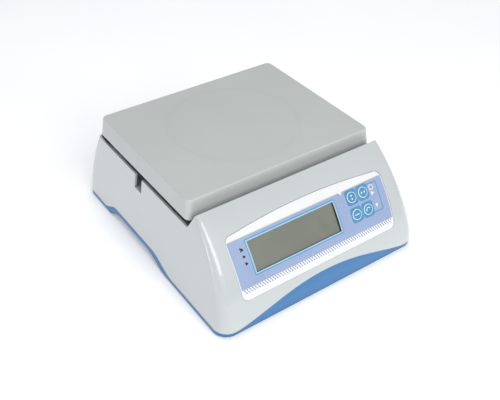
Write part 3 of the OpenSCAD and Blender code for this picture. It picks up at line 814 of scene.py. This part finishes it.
# ---------------------------------------------------------------- keys
SYMBOLS = {
    "key_upper_left": [circle(0, 1.7, 1.05, 20), circle(0, -1.7, 1.05, 20)],
    "key_upper_right": [[(-2.6, 1.6), (-2.6, -1.6), (-0.4, 0)], [(2.6, 1.6), (0.4, 0), (2.6, -1.6)]],
    "key_lower_left": [rounded(0, 0, 6.0, 1.1, 0.4, 3)],
    "key_lower_right": [arc(0, -0.4, 2.9, 20, 160, 10) + arc(0, -0.4, 1.9, 160, 20, 10),
                        [(-3.6, 0.3), (-1.2, 0.3), (-2.4, -1.9)]],
}
KEY_RING = printed("key_ring", srgb(204, 230, 238))


def make_key(node, cx, cv):
    """A slightly domed cap with a pale ring and a printed symbol, on its stem."""
    bm = bmesh.new()
    profile = [(1.7, -9.2), (1.7, -5.9), (9.0, -6.0), (9.0, -4.6), (KEY_R, -4.6), (KEY_R, -0.1)]
    profile += [(KEY_R - 0.5 + 0.5 * math.cos(math.radians(a)), -0.1 + 0.5 * math.sin(math.radians(a)))
                for a in (30, 60, 90)]
    profile += [(6.2, 0.46), (5.4, 0.48), (3.4, 0.5), (1.8, 0.5)]
    segments = 56
    rows = []
    for r, w in profile:
        row = []
        for i in range(segments):
            t = 2 * math.pi * i / segments
            x, v = cx + r * math.cos(t), cv + r * math.sin(t)
            p = on_panel(x, v, w) if w < -1 else on_arc(x, v, w - 0.06)
            row.append(bm.verts.new(place(*p)))
        rows.append(row)
    pale = len(profile) - 4
    for k, (a, b) in enumerate(zip(rows, rows[1:])):
        for i in range(segments):
            j = (i + 1) % segments
            f = bm.faces.new((a[i], a[j], b[j], b[i]))
            f.material_index = 1 if pale - 4 <= k < pale else 0
    bm.faces.new(rows[0][::-1])
    bm.faces.new(rows[-1])
    bmesh.ops.recalc_face_normals(bm, faces=bm.faces)
    for mark in SYMBOLS[node]:
        drawn = [(cx + SYMBOL_SIZE * a, cv + SYMBOL_SIZE * b) for a, b in mark]
        inked(bm, [drawn], 0.455, 1, 1.0)
    cap = raw_object(bm, node + "_cap", 40)
    finish_piece(cap, node, node, MATERIALS["key_plastic"], KEY_RING)


for name, (kx, kv) in KEYS.items():
    make_key(name, kx, kv)


# ---------------------------------------------------------------- finish of the CAD parts that show
for name, obj in frame["nodes"].items():
    if not obj.hide_render:
        obj.data.materials.clear()
        obj.data.materials.append(MATERIALS[SLOT_OF[name]])

# ---------------------------------------------------------------- stage, light and camera
floor_bm = bmesh.new()
bmesh.ops.create_grid(floor_bm, x_segments=8, y_segments=8, size=6)
floor = raw_object(floor_bm, "floor", 0)
paper = Shader("paper")
tone = paper.span(paper.noise(3, 2), 0.3, 0.7, 0, 1)
paper.set(Base_Color=paper.blend(tone, (0.93, 0.94, 0.96), (0.96, 0.965, 0.975)))
paper.set(Roughness=paper.span(paper.noise(20, 2), 0.3, 0.7, 0.75, 0.85))
paper.set(Emission_Color=(1.0, 1.0, 1.0), Emission_Strength=0.25)
paper.bump(paper.noise(500, 3), 0.05, 0.0002)
floor.data.materials.append(paper.mat)

world = bpy.data.worlds.new("studio")
bpy.context.scene.world = world
world.use_nodes = True
world.node_tree.nodes["Background"].inputs["Color"].default_value = (0.975, 0.98, 1.0, 1)
world.node_tree.nodes["Background"].inputs["Strength"].default_value = 0.43


def softbox(name, at, aim, size, power, colour=(1, 1, 1)):
    data = bpy.data.lights.new(name, "AREA")
    data.shape = "RECTANGLE"
    data.size, data.size_y = size
    data.energy = power
    data.color = colour
    lamp = bpy.data.objects.new(name, data)
    lamp.location = at
    lamp.rotation_euler = (Vector(aim) - Vector(at)).to_track_quat("-Z", "Y").to_euler()
    bpy.context.scene.collection.objects.link(lamp)


softbox("front", (-0.1, -1.62, 1.3), (0, -0.1, 0.08), (1.2, 1.3), 22, (0.98, 1.0, 0.99))
softbox("side", (-1.8, -0.25, 0.27), (0, -0.2, 0.1), (0.35, 0.5), 3.4, (0.92, 0.92, 1.0))
softbox("top", (0.1, 0.5, 1.9), (0, 0, 0.05), (1.4, 1.0), 8)

YAW, PITCH, ROLL = (math.radians(a) for a in (35.67, 38.47, -0.86))
forward = Vector((math.sin(YAW) * math.cos(PITCH), math.cos(YAW) * math.cos(PITCH), -math.sin(PITCH)))
right = Vector((math.cos(YAW), -math.sin(YAW), 0))
down = forward.cross(right)
right, down = (math.cos(ROLL) * right + math.sin(ROLL) * down,
               math.cos(ROLL) * down - math.sin(ROLL) * right)
cam_data = bpy.data.cameras.new("camera")
cam_data.lens, cam_data.sensor_width = 51.98, 36
cam = bpy.data.objects.new("camera", cam_data)
cam.matrix_world = Matrix.Translation((-0.458, -0.6515, 0.659)) @ Matrix(
    (right, -down, -forward)).transposed().to_4x4()
bpy.context.scene.collection.objects.link(cam)
bpy.context.scene.camera = cam
bpy.context.scene.view_settings.view_transform = "Standard"
